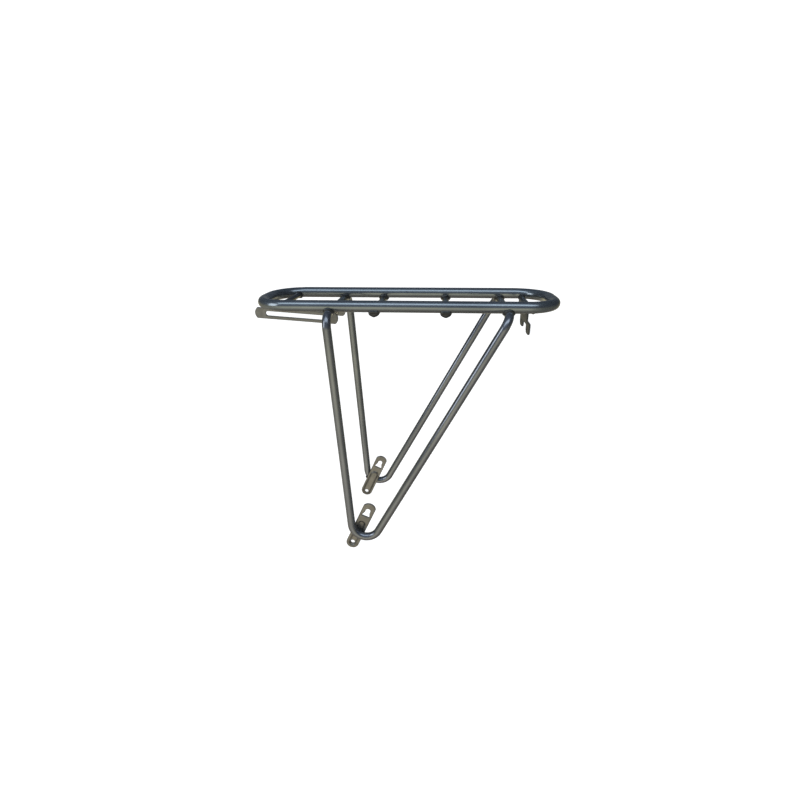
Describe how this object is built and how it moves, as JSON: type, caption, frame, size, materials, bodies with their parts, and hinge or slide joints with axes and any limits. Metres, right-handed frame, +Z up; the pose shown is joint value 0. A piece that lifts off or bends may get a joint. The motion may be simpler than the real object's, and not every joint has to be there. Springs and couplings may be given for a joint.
{
  "type": "bicycle rear rack",
  "caption": "Welded tube rear rack: closed loop deck on cross tubes, two bent V legs with axle brackets, slotted front stays and a lamp bracket.",
  "frame": {"origin": "middle of the line through the two axle eyelets", "axes": "+X to the rear of the bicycle, +Z up, +Y along the eyelet line to the bicycle's right side"},
  "size_m": [0.432, 0.174, 0.394],
  "materials": {
    "loop_paint": "gloss metallic",
    "cross_tube_paint": "gloss metallic",
    "leg_paint": "gloss metallic",
    "bracket_metal": "satin metallic",
    "stay_metal": "satin metallic",
    "lamp_bracket_metal": "satin metallic",
    "fastener_zinc": "bright zinc",
    "weld_paint": "gloss metallic"
  },
  "bodies": {
    "rack": {"top_loop": "loop_paint", "front_bar": "cross_tube_paint", "front_leg_bar": "cross_tube_paint", "deck_bar_1": "cross_tube_paint", "deck_bar_2": "cross_tube_paint", "rear_leg_bar": "cross_tube_paint", "lamp_bar": "cross_tube_paint", "leg_left": "leg_paint", "leg_right": "leg_paint", "axle_bracket_left": "bracket_metal", "axle_bracket_right": "bracket_metal", "stay_tab_left": "bracket_metal", "stay_tab_right": "bracket_metal", "stay_bolts": "fastener_zinc", "stay_washers": "fastener_zinc", "stay_nuts": "fastener_zinc", "lamp_bracket": "lamp_bracket_metal", "rail_welds_left": "weld_paint", "rail_welds_right": "weld_paint", "axle_bracket_welds": "weld_paint", "stay_tab_welds": "weld_paint", "lamp_bracket_welds": "weld_paint"},
    "stay_left": {"front_stay_left": "stay_metal"},
    "stay_right": {"front_stay_right": "stay_metal"}
  },
  "joints": [
    {"name": "stay_left_slide", "type": "slide", "parent": "rack", "child": "stay_left", "axis": [0.9977, 0, -0.068], "range_m": [0, 0.086]},
    {"name": "stay_right_slide", "type": "slide", "parent": "rack", "child": "stay_right", "axis": [0.9977, 0, -0.068], "range_m": [0, 0.086]}
  ]
}
